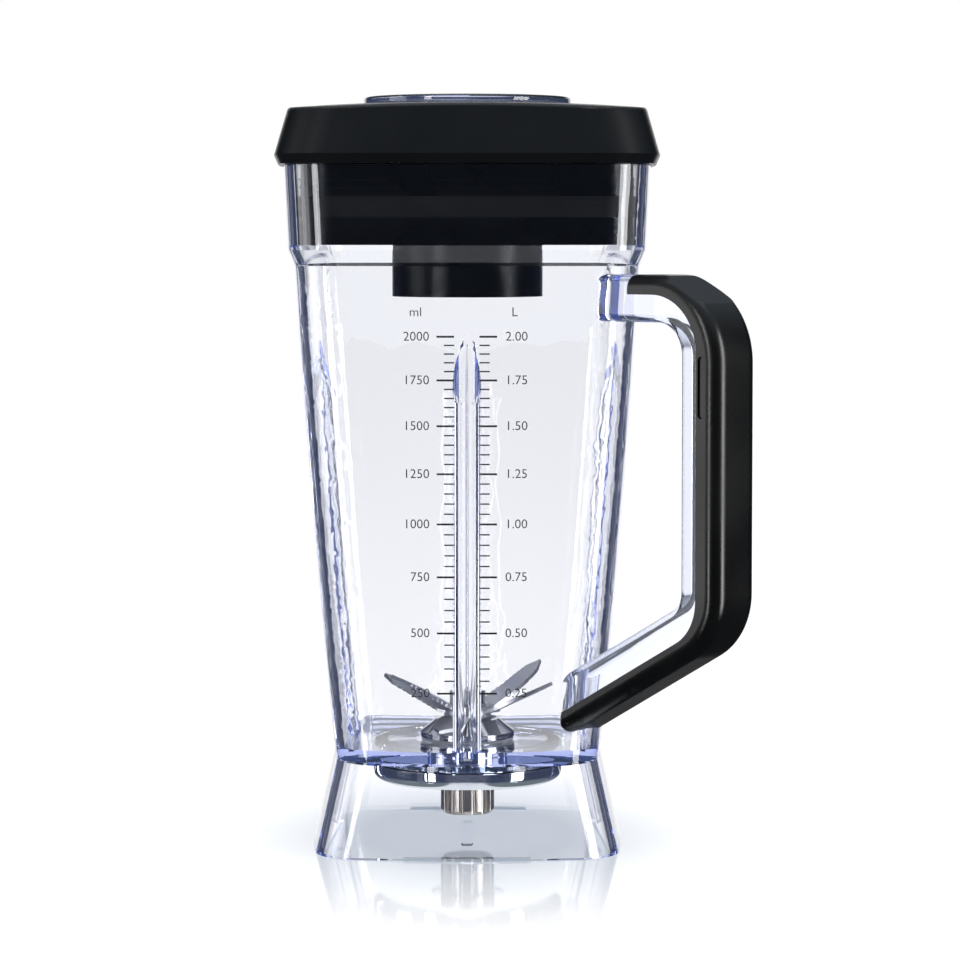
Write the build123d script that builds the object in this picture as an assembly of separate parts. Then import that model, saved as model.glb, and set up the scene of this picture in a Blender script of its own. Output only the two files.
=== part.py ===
from build123d import *

import math
import os

# Jar plan: a square with bowed sides and round corners
side_bow = 4.2
corner_radius = 18.0
wall = 3.0

# Jar profile: half widths at the middle of a side, and the heights they lie at
skirt_half = 61.2
waist_half = 53.0
waist_height = 36.0
belly_half = 61.6
belly_height = 132.0
shoulder_half = 68.2
shoulder_rise = 6.0
shoulder_inner_lift = 1.8
collar_foot_half = 70.6
collar_top_half = 72.1
rim_height = 266.5
collar_height = 38.5
lip_out = 1.6
lip_height = 3.5
body_sections = 4

# Jar floor, its hole and the ring under it
floor_rise = 2.6
floor_thickness = 4.1
floor_flat_radius = 21.0
floor_slope_deg = 3.2
floor_ring_overlap = 5.5
floor_ring_margin = 1.0
floor_ring_depth = 5.0
housing_hole_clearance = 0.3

# Flutes: folds of the wall at the middle of each side
flute_radius = 5.4
flute_foot_depth = 5.2
flute_top_depth = 7.3
flute_top_drop = 53.0
flute_fade_length = 22.0
groove_foot_rise = 1.5

# Skirt: guide ribs inside and a relief between the feet
rib_width = 5.0
rib_depth = 4.5
rib_foot_height = 5.0
rib_nose_round = 1.2
foot_relief_width = 49.0
foot_relief_height = 0.8

# Pouring spout on the corner opposite the handle
spout_radius = 15.0
spout_out = 7.9
spout_lean = 13.0
spout_drop = 30.0

# Handle, drawn in the upright plane through one corner
handle_angle_deg = -45.0
handle_drop = 3.1
handle_reach = 141.6
handle_slope_deg = 28.5
handle_low_station = 100.0
handle_low_rise = 31.3
handle_bend_top = 32.7
handle_bend_low = 28.0
grip_depth_top = 7.4
grip_depth_side = 10.1
grip_depth_low = 7.7
grip_bend_top = 22.0
grip_bend_low = 18.0
frame_depth_top = 10.5
frame_depth_side = 10.0
frame_depth_low = 12.7
frame_bend_top = 12.5
frame_bend_low = 8.0
frame_half_width = 10.5
frame_round = 3.5
root_half_width = 13.0
root_end = 100.0
root_round = 40.0
tongue_half_width = 7.0
tongue_clearance = 0.1
grip_half_width = 12.0
grip_round = 5.5
grip_skin = 3.5
grip_start = 97.0
grip_wall_gap = 0.3
thumb_rest_angle_deg = 62.0
thumb_rest_radius = 150.0
thumb_rest_depth = 2.2
clip_window_length = 23.0
clip_window_width = 3.2
clip_window_depth = 0.8
clip_window_drop = 41.4
clip_window_inset = 2.4

# Lid cover
cover_gap = 0.4
cover_overhang = 0.5
cover_flare = 1.5
cover_flare_rise = 3.6
cover_taper = 5.4
cover_corner = 21.0
cover_rise = 25.5
cover_crown_radius = 980.0
cover_edge_drop = 2.5
cover_wall = 2.6
cover_top_thickness = 4.4
cover_edge_round = 1.8
cap_seat_depth = 1.1
cap_seat_clearance = 0.6

# Lid plug with its tube, and the seal round it
plug_wall_gap = 1.0
plug_foot_gap = 2.0
plug_wall = 2.5
plug_floor = 3.0
plug_flange_gap = 0.3
plug_flange_thickness = 3.0
plug_bead_out = 0.4
plug_bead_width = 0.8
plug_bead_pitch = 3.0
plug_bead_count = 2
tube_outer = 30.0
tube_wall = 3.0
tube_depth = 51.0
seal_depth = 20.0
seal_height = 8.0
seal_band = 0.7
seal_lip_height = 1.2
seal_wall_gap = 0.3

# Filler cap
cap_flange_radius = 41.0
cap_flange_thickness = 3.2
cap_edge_round = 1.0
cap_clearance = 0.9
cap_wall = 2.2
cap_cup_depth = 44.9

# Bearings, seal, circlip and spacers
shaft_radius = 4.0
bearing_radius = 11.0
bearing_width = 7.0
ring_thickness = 2.0
shield_gap = 0.2
shield_thickness = 1.0
circlip_inset = 1.2
circlip_thickness = 1.0
circlip_depth = 0.8
circlip_lip = 1.8
bearing_spacer_length = 3.0
shaft_seal_width = 3.0
shaft_seal_height = 3.4
shaft_seal_clearance = 0.05

# Bearing housing, gasket and retainer nut
housing_wall = 2.7
housing_flange_width = 4.5
housing_rim_height = 2.2
housing_lip = 1.0
housing_top_wall = 3.5
housing_depth = 11.3
housing_mouth_clearance = 0.6
gasket_thickness = 1.2
gasket_inset = 0.4
retainer_radius = 38.0
retainer_height = 6.8
retainer_round = 4.0
retainer_hub_wall = 5.5
retainer_hub_gap = 1.5
retainer_web = 3.0
retainer_seat_width = 6.5

# Blades, washer, nut and shaft
blade_gap = 0.8
blade_thickness = 1.4
blade_hub_radius = 9.5
blade_bend_radius = 10.0
blade_half_width = 5.5
blade_tooth_pitch = 2.4
blade_tooth_depth = 0.7
blade_tip_length = 6.0
blade_tip_offset = 1.8
blade_back_half_width = 2.75
blade_belly_half_width = 6.0
upper_blade_reach = 43.0
upper_blade_lift_deg = 28.5
upper_blade_angle_deg = 36.6
middle_blade_reach = 39.5
middle_blade_lift_deg = 25.5
middle_blade_angle_deg = 156.0
lower_blade_reach = 37.0
lower_blade_lift_deg = -5.0
lower_blade_angle_deg = 70.0
washer_radius = 8.0
washer_thickness = 1.0
nut_across_flats = 13.0
nut_height = 5.0
stud_proud = 0.7

# Drive coupling
coupling_radius = 10.8
coupling_length = 13.9
coupling_gap = 0.8
coupling_chamfer = 1.6
coupling_grooves = 14
coupling_groove_radius = 1.3
coupling_socket_depth = 11.5

# Heights on the jar that follow from these
shoulder_height = rim_height - collar_height
floor_height = waist_height + floor_rise
floor_under = floor_height - floor_thickness
floor_ring_bottom = floor_under - floor_ring_depth
flute_top_height = shoulder_height - flute_top_drop
flute_fade_height = flute_top_height + flute_fade_length
handle_top = shoulder_height - handle_drop
handle_low_height = waist_height + handle_low_rise

# Heights on the lid, from the rim up and down
cover_foot = rim_height + cover_gap
cover_crown_height = rim_height + cover_rise
cover_ceiling = cover_crown_height - cover_top_thickness
cap_seat_height = cover_crown_height - cap_seat_depth
plug_bottom = shoulder_height + shoulder_rise + plug_foot_gap
seal_bottom = rim_height - seal_depth

# Half widths of the lid, from the jar's collar
cover_foot_half = collar_top_half + lip_out + cover_overhang
cover_wide_half = cover_foot_half + cover_flare
plug_half = collar_foot_half - wall - plug_wall_gap
plug_corner = corner_radius - wall - plug_wall_gap
plug_flange_half = cover_foot_half - cover_wall - plug_flange_gap
plug_flange_corner = cover_corner - cover_wall
tube_inner = tube_outer - tube_wall

# Radii of the drive unit, from the shaft outwards
spacer_radius = shaft_radius + ring_thickness
shaft_seal_radius = spacer_radius + shaft_seal_width
housing_barrel_radius = bearing_radius + circlip_depth + housing_wall
housing_flange_radius = housing_barrel_radius + housing_flange_width

# Heights of the drive unit, from the housing's lower end up
housing_bottom = floor_under - housing_depth
circlip_bottom = housing_bottom + circlip_inset
lower_bearing_bottom = circlip_bottom + circlip_thickness
upper_bearing_bottom = lower_bearing_bottom + bearing_width + bearing_spacer_length
bearing_stack_top = upper_bearing_bottom + bearing_width
shaft_seal_top = bearing_stack_top + shaft_seal_height
housing_top_height = shaft_seal_top + housing_lip
flange_underside = floor_height + gasket_thickness
blade_base = housing_top_height + blade_gap
blade_stack_top = blade_base + 3 * blade_thickness
nut_bottom = blade_stack_top + washer_thickness
stud_top = nut_bottom + nut_height + stud_proud
coupling_top = housing_bottom - coupling_gap
coupling_bottom = coupling_top - coupling_length

quarter_turns = (0, 90, 180, 270)


def bowed_square(half, height, corner):
    """A level square with bowed sides and round corners; half is measured at mid-side."""
    reach = half - side_bow
    corners = [(reach, -reach), (reach, reach), (-reach, reach), (-reach, -reach)]
    middles = [(half, 0), (0, half), (-half, 0), (0, -half)]
    ends = corners[1:] + corners[:1]
    sides = [ThreePointArc(start, middle, end) for start, middle, end in zip(corners, middles, ends)]
    outline = make_face(sides)
    return Pos(0, 0, height) * fillet(outline.vertices(), corner)


def bowed_block(half, corner, bottom, top):
    """An upright block with the bowed plan."""
    return extrude(bowed_square(half, bottom, corner), top - bottom, dir=(0, 0, 1))


def ring(inner, outer, bottom, top):
    """A plain upright ring."""
    middle = Pos(0, 0, (bottom + top) / 2)
    return middle * (Cylinder(outer, top - bottom) - Cylinder(inner, top - bottom))


def turned(points):
    """A solid turned about the drive axis from its radius and height profile."""
    profile = make_face(Polyline(*points, close=True))
    return revolve(Plane.XZ * profile, Axis.Z)


def skirt_half_at(height):
    """Half width of the straight skirt at a height."""
    return skirt_half + (waist_half - skirt_half) * height / waist_height


def body_half_at(height):
    """Half width of the body at a height: a parabola through waist, belly and shoulder."""
    low, mid, high = waist_height, belly_height, shoulder_height
    waist_share = (height - mid) * (height - high) / ((low - mid) * (low - high))
    belly_share = (height - low) * (height - high) / ((mid - low) * (mid - high))
    shoulder_share = (height - low) * (height - mid) / ((high - low) * (high - mid))
    return waist_share * waist_half + belly_share * belly_half + shoulder_share * shoulder_half


def jar_section(half, height, inset):
    """One level section of the jar, moved in from the outside by the inset."""
    return bowed_square(half - inset, height, corner_radius - inset)


def skirt_form(inset, top):
    """The skirt from the base plane up to a height."""
    lower = jar_section(skirt_half_at(0), 0, inset)
    upper = jar_section(skirt_half_at(top), top, inset)
    return loft([lower, upper], ruled=True)


def upper_form(inset, top, lift):
    """Body, shoulder and collar in one, from the waist up; the lift raises the shoulder."""
    step = (shoulder_height - waist_height) / (body_sections - 1)
    levels = [waist_height + step * index for index in range(body_sections)]
    body = loft([jar_section(body_half_at(level), level, inset) for level in levels])
    collar_foot_height = shoulder_height + shoulder_rise
    heights = [shoulder_height, shoulder_height + lift, collar_foot_height + lift, rim_height]
    halves = [shoulder_half, shoulder_half, collar_half_at(collar_foot_height + lift), collar_top_half]
    sections = [jar_section(half, height, inset) for half, height in zip(halves, heights)]
    form = body
    for lower, upper in zip(sections, sections[1:]):
        if upper.center().Z > lower.center().Z:
            form += loft([lower, upper], ruled=True)
    if top > rim_height:
        form += bowed_block(collar_top_half - inset, corner_radius - inset, rim_height, top)
    return form


def collar_half_at(height):
    """Outer half width of the collar at a height."""
    foot = shoulder_height + shoulder_rise
    return collar_foot_half + (collar_top_half - collar_foot_half) * (height - foot) / (rim_height - foot)


def rim_lip():
    """The small outward lip along the rim."""
    foot = rim_height - lip_height
    lower = jar_section(collar_half_at(foot), foot, 0)
    upper = jar_section(collar_top_half + lip_out, rim_height, -lip_out)
    return loft([lower, upper], ruled=True)


def corner_reach(half, corner):
    """Distance from the drive axis to a round corner of the bowed plan."""
    return (half - side_bow) * math.sqrt(2) - corner * (math.sqrt(2) - 1)


def spout(radius):
    """A leaning round channel on the back left corner, from below the rim to above it."""
    foot = rim_height - spout_drop
    reach = corner_reach(collar_top_half, corner_radius) + spout_out
    start = reach - spout_radius - spout_lean
    along = Plane(origin=(start, 0, foot), x_dir=(0, 1, 0), z_dir=(spout_lean, 0, spout_drop))
    channel = extrude(along * Circle(radius), 2 * spout_drop)
    return Rot(0, 0, handle_angle_deg + 180) * channel


def floor_slab():
    """What fills the foot of the cavity: its top is the dished floor."""
    edge = skirt_half * 2
    rise = (edge - floor_flat_radius) * math.tan(math.radians(floor_slope_deg))
    points = [
        (0, 0),
        (edge, 0),
        (edge, floor_height + rise),
        (floor_flat_radius, floor_height),
        (0, floor_height),
    ]
    return turned(points)


flute_foot_crest = body_half_at(floor_height) - wall - flute_foot_depth
flute_top_crest = body_half_at(flute_top_height) - wall - flute_top_depth
flute_lean = (flute_top_crest - flute_foot_crest) / (flute_top_height - floor_height)
flute_fade_crest = body_half_at(flute_fade_height) - wall
flute_fade_slope = (flute_fade_crest - flute_top_crest) / (flute_fade_height - flute_top_height)


def round_bar(radius, crest, foot, lean):
    """A bar with a round nose along a leaning crest, up past the rim."""
    tail_length = skirt_half - crest
    along = Plane(origin=(crest + radius, 0, foot), x_dir=(1, 0, -lean), z_dir=(lean, 0, 1))
    tail = Pos(tail_length / 2, 0) * Rectangle(tail_length, 2 * radius)
    return extrude(along * (Circle(radius) + tail), rim_height)


def fold_bar(radius, offset, foot):
    """The bar of a flute: it follows the wall, then sinks into it and ends in a point."""
    crest = flute_foot_crest + flute_lean * (foot - floor_height) + offset
    sink_crest = flute_top_crest - flute_fade_slope * (flute_top_height - foot) + offset
    bar = round_bar(radius, crest, foot, flute_lean)
    return bar & round_bar(radius, sink_crest, foot, flute_fade_slope)


def guide_rib():
    """A rib inside the skirt that guides the jar onto its base."""
    half_low = skirt_half_at(rib_foot_height) - wall
    half_high = skirt_half_at(floor_under) - wall
    profile = make_face(
        Polyline(
            (half_low - rib_depth, rib_foot_height),
            (half_low + wall / 2, rib_foot_height),
            (half_high + wall / 2, floor_under),
            (half_high - rib_depth, floor_under),
            close=True,
        )
    )
    rib = extrude(Plane.XZ * profile, rib_width / 2, both=True)
    nose = rib.faces().sort_by(Axis.X)[0]
    nose_edges = nose.edges().filter_by(lambda edge: abs(edge.center().Y) > 1)
    foot_edges = rib.edges().group_by(Axis.Z)[0].filter_by(lambda edge: abs(edge.center().Y) > 1)
    return fillet(nose_edges + foot_edges, rib_nose_round)


def handle_plane():
    """The upright plane through the handle: across is the distance from the drive axis."""
    angle = math.radians(handle_angle_deg)
    across = (math.cos(angle), math.sin(angle), 0)
    normal = (math.sin(angle), -math.cos(angle), 0)
    return Plane(origin=(0, 0, 0), x_dir=across, z_dir=normal)


def handle_region(depth_top, depth_side, depth_low, bend_top, bend_low):
    """All that lies inside the handle's outer line, moved in by three depths."""
    slope = math.tan(math.radians(handle_slope_deg))
    top = handle_top - depth_top
    reach = handle_reach - depth_side
    low = handle_low_height + depth_low / math.cos(math.radians(handle_slope_deg))
    root = waist_half - wall
    low_root = low + (root - handle_low_station) * slope
    low_reach = low + (reach - handle_low_station) * slope
    line = Polyline((root, top), (reach, top), (reach, low_reach), (root, low_root), close=True)
    region = make_face(line)
    top_corner = region.vertices().sort_by_distance((reach, top, 0))[:1]
    region = fillet(top_corner, bend_top)
    low_corner = region.vertices().sort_by_distance((reach, low_reach, 0))[:1]
    return fillet(low_corner, bend_low)


def outer_region(depth):
    """The grip's outer line, moved in evenly."""
    return handle_region(depth, depth, depth, handle_bend_top - depth, handle_bend_low - depth)


def parting_region():
    """The line where the grip's lips meet the clear frame."""
    return handle_region(grip_depth_top, grip_depth_side, grip_depth_low, grip_bend_top, grip_bend_low)


def finger_region():
    """The opening for the fingers."""
    return handle_region(
        grip_depth_top + frame_depth_top,
        grip_depth_side + frame_depth_side,
        grip_depth_low + frame_depth_low,
        frame_bend_top,
        frame_bend_low,
    )


def upper_root_zone():
    """The stretch of the upper arm between the jar and the end of the grip."""
    height = handle_top - waist_height
    return Pos(grip_start / 2, handle_top - height / 4) * Rectangle(grip_start, height / 2)


def frame_plan():
    """Plan of the frame: it flares where it grows out of the jar."""
    root = (waist_half - wall, root_half_width)
    side = [root, (root_end, frame_half_width), (handle_reach, frame_half_width)]
    other_side = [(across, -half) for across, half in reversed(side)]
    outline = make_face(Polyline(*side, *other_side, close=True))
    necks = outline.vertices().filter_by(lambda corner: abs(corner.X - root_end) < 1)
    flare = extrude(fillet(necks, root_round), handle_top + 1)
    return Rot(0, 0, handle_angle_deg) * flare


def handle_frame():
    """The clear frame of the handle, with the tongue that the grip slides over."""
    plane = handle_plane()
    fingers = finger_region()
    finger_line = fingers.face().outer_wire()
    side_view = parting_region() + (outer_region(0) & upper_root_zone()) - fingers
    frame = extrude(plane * side_view, 2 * root_half_width, both=True) & frame_plan()

    def on_open_rim(edge):
        centre = plane.to_local_coords(edge.center())
        beside = abs(centre.Z) > 1
        at_fingers = finger_line.distance_to(Vector(centre.X, centre.Y, 0)) < tongue_clearance
        at_top = abs(centre.Y - handle_top) < tongue_clearance
        return beside and (at_fingers or at_top and centre.X < grip_start - 1)

    frame = fillet(frame.edges().filter_by(on_open_rim), frame_round)
    tongue_view = outer_region(grip_skin) - fingers
    tongue = extrude(plane * tongue_view, tongue_half_width, both=True)
    return frame + tongue


def handle_grip():
    """The black grip: a channel that caps the outer side of the frame."""
    plane = handle_plane()
    plate = extrude(plane * outer_region(0), grip_half_width, both=True)
    along = Axis((0, 0, 0), plane.z_dir)
    side_faces = plate.faces().sort_by(along)
    rims = side_faces[0].edges() + side_faces[-1].edges()
    root = waist_half - wall
    grip_edges = rims.filter_by(lambda edge: plane.to_local_coords(edge.center()).X > root + 1)
    grip = fillet(grip_edges, grip_round)
    grip -= extrude(plane * parting_region(), 2 * grip_half_width, both=True)
    grip -= extrude(plane * upper_root_zone(), 2 * grip_half_width, both=True)
    slot_view = outer_region(grip_skin - tongue_clearance)
    grip -= extrude(plane * slot_view, tongue_half_width + tongue_clearance, both=True)
    grip -= upper_form(-grip_wall_gap, rim_height, 0)
    grip -= thumb_rest()
    for side in (-1, 1):
        grip -= clip_window(side)
    return grip


def thumb_rest():
    """A wide shallow scoop on the upper bend of the grip."""
    angle = math.radians(thumb_rest_angle_deg)
    bend_across = handle_reach - handle_bend_top
    bend_height = handle_top - handle_bend_top
    offset = handle_bend_top - thumb_rest_depth + thumb_rest_radius
    centre = (bend_across + offset * math.cos(angle), bend_height + offset * math.sin(angle))
    scoop = Pos(*centre) * Circle(thumb_rest_radius)
    return extrude(handle_plane() * scoop, 2 * grip_half_width, both=True)


def clip_window(side):
    """A pill shaped recess in the lip of the grip, on one side."""
    across = handle_reach - grip_depth_side + clip_window_inset
    slot = SlotOverall(clip_window_length, clip_window_width)
    pill = Pos(across, handle_top - clip_window_drop) * Rot(0, 0, 90) * slot
    floor = grip_half_width - clip_window_depth
    plane = handle_plane().offset(side * floor)
    return extrude(plane * pill, side * 2 * clip_window_depth)


def jar_body():
    """The clear jar: skirt, body, collar, spout, flutes and handle frame in one moulding."""
    cavity_top = rim_height + lip_height
    cavity = upper_form(wall, cavity_top, shoulder_inner_lift) - floor_slab()
    for turn in quarter_turns:
        cavity -= Rot(0, 0, turn) * fold_bar(flute_radius, 0, waist_height)
    jar = skirt_form(0, waist_height) + upper_form(0, rim_height, 0)
    jar += rim_lip()
    jar += split(spout(spout_radius), bisect_by=Plane.XY.offset(rim_height), keep=Keep.BOTTOM)
    jar += handle_frame()
    jar -= cavity
    jar -= spout(spout_radius - wall)
    jar -= skirt_form(wall, floor_under)
    hole = housing_barrel_radius + housing_hole_clearance
    ring_inner = retainer_radius - floor_ring_overlap
    ring_outer = retainer_radius + floor_ring_margin
    jar += ring(ring_inner, ring_outer, floor_ring_bottom, floor_under)
    jar -= Pos(0, 0, floor_height) * Cylinder(hole, 2 * (floor_height - floor_ring_bottom))
    for turn in quarter_turns:
        jar -= Rot(0, 0, turn) * fold_bar(flute_radius - wall, wall, waist_height + groove_foot_rise)
        jar += Rot(0, 0, turn) * guide_rib()
    relief_length = 3 * skirt_half
    jar -= Box(foot_relief_width, relief_length, 2 * foot_relief_height)
    jar -= Box(relief_length, foot_relief_width, 2 * foot_relief_height)
    return jar


def cover_form(inset, top):
    """The lid cover's form from its foot to a height, moved in by the inset."""
    wide = cover_foot + cover_flare_rise
    taper = cover_taper / (cover_crown_height - cover_edge_drop - wide)
    corner = cover_corner - inset
    foot_section = bowed_square(cover_foot_half - inset, cover_foot, corner)
    wide_section = bowed_square(cover_wide_half - inset, wide, corner)
    top_section = bowed_square(cover_wide_half - taper * (top - wide) - inset, top, corner)
    bevel = loft([foot_section, wide_section], ruled=True)
    return bevel + loft([wide_section, top_section], ruled=True)


def lid_cover():
    """The black lid cover: tapered sides, a low crown, a flat seat for the cap."""
    crown = Pos(0, 0, cover_crown_height - cover_crown_radius) * Sphere(cover_crown_radius)
    cover = cover_form(0, cover_crown_height + 1) & crown
    top_face = cover.faces().sort_by(Axis.Z)[-1]
    cover = fillet(top_face.edges(), cover_edge_round)
    cover -= cover_form(cover_wall, cover_ceiling)
    seat_radius = cap_flange_radius + cap_seat_clearance
    cover -= ring(tube_inner, seat_radius, cap_seat_height, cover_crown_height + 1)
    cover -= Pos(0, 0, cover_crown_height) * Cylinder(tube_inner, 2 * cover_top_thickness + 2)
    return cover


def lid_plug():
    """The plug under the cover: flange on the rim, ribbed wall, floor and centre tube."""
    flange_top = rim_height + plug_flange_thickness
    inner_corner = plug_corner - plug_wall
    plug = bowed_block(plug_half, plug_corner, plug_bottom, flange_top)
    plug += bowed_block(plug_flange_half, plug_flange_corner, rim_height, flange_top)
    for index in range(plug_bead_count):
        low_bead = plug_bottom + plug_bead_pitch * (index + 1)
        high_bead = seal_bottom + seal_height + plug_bead_pitch * (index + 1)
        for bead in (low_bead, high_bead):
            plug += bowed_block(plug_half + plug_bead_out, plug_corner, bead, bead + plug_bead_width)
    plug -= bowed_block(plug_half - plug_wall, inner_corner, plug_bottom + plug_floor, flange_top)
    plug += ring(tube_inner, tube_outer, rim_height - tube_depth, cover_ceiling)
    plug -= Pos(0, 0, plug_bottom) * Cylinder(tube_inner, 4 * plug_floor)
    return plug


def lid_seal():
    """The seal round the plug: a band with two lips that reach the jar wall."""
    seal_top = seal_bottom + seal_height
    seal = bowed_block(plug_half + seal_band, plug_corner, seal_bottom, seal_top)
    for lip in (seal_bottom + seal_lip_height, seal_top - 2 * seal_lip_height):
        lip_half = collar_half_at(lip) - wall - seal_wall_gap
        seal += bowed_block(lip_half, corner_radius - wall - seal_wall_gap, lip, lip + seal_lip_height)
    return seal - bowed_block(plug_half, plug_corner, seal_bottom, seal_top)


def filler_cap():
    """The clear cap: a round flange on the lid and a cup, open below, inside the tube."""
    cup = tube_inner - cap_clearance
    cap = ring(cup - cap_wall, cup, cap_seat_height - cap_cup_depth, cap_seat_height)
    middle = cap_seat_height + cap_flange_thickness / 2
    flange = Pos(0, 0, middle) * Cylinder(cap_flange_radius, cap_flange_thickness)
    return cap + fillet(flange.edges().filter_by(GeomType.CIRCLE), cap_edge_round)


def bearing_housing():
    """The polished housing: cone and flange in the jar, barrel through the floor."""
    rim_top = flange_underside + housing_rim_height
    mouth = spacer_radius + housing_mouth_clearance
    groove = bearing_radius + circlip_depth
    points = [
        (mouth, housing_top_height),
        (shaft_seal_radius + housing_top_wall, housing_top_height),
        (housing_flange_radius, rim_top),
        (housing_flange_radius, flange_underside),
        (housing_barrel_radius, flange_underside),
        (housing_barrel_radius, housing_bottom),
        (bearing_radius, housing_bottom),
        (bearing_radius, circlip_bottom),
        (groove, circlip_bottom),
        (groove, lower_bearing_bottom),
        (bearing_radius, lower_bearing_bottom),
        (bearing_radius, bearing_stack_top),
        (shaft_seal_radius, bearing_stack_top),
        (shaft_seal_radius, shaft_seal_top),
        (mouth, shaft_seal_top),
    ]
    return turned(points)


def retainer_nut():
    """The chromed disc nut that pulls the housing down onto the jar floor."""
    bottom = floor_ring_bottom - retainer_height
    web_top = bottom + retainer_web
    seat_inner = retainer_radius - retainer_seat_width
    hub_radius = housing_barrel_radius + retainer_hub_wall
    hub_top = floor_under - retainer_hub_gap
    points = [
        (housing_barrel_radius, bottom),
        (retainer_radius, bottom),
        (retainer_radius, floor_ring_bottom),
        (seat_inner, floor_ring_bottom),
        (seat_inner, web_top),
        (hub_radius, web_top),
        (hub_radius, hub_top),
        (housing_barrel_radius, hub_top),
    ]
    nut = turned(points)
    lower_rim = nut.edges().filter_by(GeomType.CIRCLE).group_by(Axis.Z)[0].sort_by(SortBy.RADIUS)[-1:]
    return fillet(lower_rim, retainer_round)


def housing_gasket():
    """The flat gasket under the flange of the housing."""
    outer = housing_flange_radius - gasket_inset
    inner = housing_barrel_radius + housing_hole_clearance
    return ring(inner, outer, floor_height, flange_underside)


def bearing_outer_ring(bottom):
    """Outer ring of a sealed bearing, with its shields."""
    shield_hole = spacer_radius + shield_gap
    race = bearing_radius - ring_thickness
    top = bottom + bearing_width
    points = [
        (bearing_radius, bottom),
        (bearing_radius, top),
        (shield_hole, top),
        (shield_hole, top - shield_thickness),
        (race, top - shield_thickness),
        (race, bottom + shield_thickness),
        (shield_hole, bottom + shield_thickness),
        (shield_hole, bottom),
    ]
    return turned(points)


def bearing_inner_ring(bottom):
    """Inner ring of a sealed bearing."""
    return ring(shaft_radius, spacer_radius, bottom, bottom + bearing_width)


def bearing_spacer():
    """The sleeve that keeps the two inner rings apart."""
    bottom = lower_bearing_bottom + bearing_width
    return ring(shaft_radius, spacer_radius, bottom, bottom + bearing_spacer_length)


def blade_spacer():
    """The sleeve between the upper inner ring and the blades; the seal runs on it."""
    return ring(shaft_radius, spacer_radius, bearing_stack_top, blade_base)


def shaft_seal():
    """The seal ring in the head of the housing."""
    inner = spacer_radius + shaft_seal_clearance
    return ring(inner, shaft_seal_radius, bearing_stack_top, shaft_seal_top)


def bearing_circlip():
    """The split ring that holds the lower bearing in the housing."""
    outer = bearing_radius + circlip_depth
    inner = bearing_radius - circlip_lip
    clip = ring(inner, outer, circlip_bottom, lower_bearing_bottom)
    gap = Pos(outer, 0, circlip_bottom + circlip_thickness / 2)
    return clip - gap * Box(outer, inner / 2, 2 * circlip_thickness)


def blade_wing(reach):
    """One flat wing: a toothed edge, a round tip and a hollow ground belly."""
    start = blade_bend_radius
    shoulder = reach - blade_tip_length
    teeth = int((shoulder - start) / blade_tooth_pitch)
    edge = [(start, -blade_half_width), (start, blade_half_width)]
    for index in range(teeth):
        foot = start + blade_tooth_pitch * (index + 0.5)
        edge.append((foot, blade_half_width))
        edge.append((foot + blade_tooth_pitch / 2, blade_half_width - blade_tooth_depth))
    edge.append((shoulder, blade_half_width))
    back_shoulder = (shoulder, -blade_back_half_width)
    belly = ((start + shoulder) / 2, -blade_belly_half_width)
    toothed = Polyline(*edge)
    point = Polyline(edge[-1], (reach, blade_tip_offset), back_shoulder)
    back = ThreePointArc(back_shoulder, belly, edge[0])
    return extrude(make_face([toothed, point, back]), blade_thickness)


def blade(reach, lift_deg, angle_deg, bottom):
    """A stamped blade: a hub between two wings that are bent up or down."""
    hub = Cylinder(blade_hub_radius, blade_thickness, align=(Align.CENTER, Align.CENTER, Align.MIN))
    arm = Box(2 * blade_bend_radius, 2 * blade_half_width, blade_thickness)
    stamped = hub + Pos(0, 0, blade_thickness / 2) * arm
    fold = 0 if lift_deg > 0 else blade_thickness
    bend = Pos(blade_bend_radius, 0, fold) * Rot(0, -lift_deg, 0) * Pos(-blade_bend_radius, 0, -fold)
    wing = bend * blade_wing(reach)
    stamped += wing
    stamped += Rot(0, 0, 180) * wing
    stamped -= Cylinder(shaft_radius, 4 * blade_thickness)
    return Pos(0, 0, bottom) * Rot(0, 0, angle_deg) * stamped


def blade_washer():
    """The washer between the blades and the nut."""
    return ring(shaft_radius, washer_radius, blade_stack_top, nut_bottom)


def blade_nut():
    """The hexagon nut on the blades."""
    hexagon = RegularPolygon(nut_across_flats / 2, 6, major_radius=False) - Circle(shaft_radius)
    return extrude(Pos(0, 0, nut_bottom) * hexagon, nut_height)


def blade_shaft():
    """The shaft, from inside the coupling to just above the nut."""
    bottom = coupling_top - coupling_socket_depth
    return Pos(0, 0, (bottom + stud_top) / 2) * Cylinder(shaft_radius, stud_top - bottom)


def drive_coupling():
    """The splined coupling on the lower end of the shaft, with a boss up to the bearing."""
    grooves = Sketch() + PolarLocations(coupling_radius, coupling_grooves) * Circle(coupling_groove_radius)
    section = Circle(coupling_radius) - grooves
    height = coupling_top - coupling_bottom
    splines = extrude(Pos(0, 0, coupling_bottom) * section, height)
    shoulder = coupling_bottom + coupling_chamfer
    outside = [
        (0, coupling_bottom),
        (coupling_radius - coupling_chamfer, coupling_bottom),
        (coupling_radius, shoulder),
        (coupling_radius, coupling_top),
        (0, coupling_top),
    ]
    splines = splines & turned(outside)
    boss_height = lower_bearing_bottom - coupling_top
    boss = Pos(0, 0, coupling_top + boss_height / 2) * Cylinder(spacer_radius, boss_height)
    socket_bottom = coupling_top - coupling_socket_depth
    socket_height = lower_bearing_bottom - socket_bottom
    socket = Pos(0, 0, socket_bottom + socket_height / 2) * Cylinder(shaft_radius, socket_height)
    return splines + boss - socket


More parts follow.
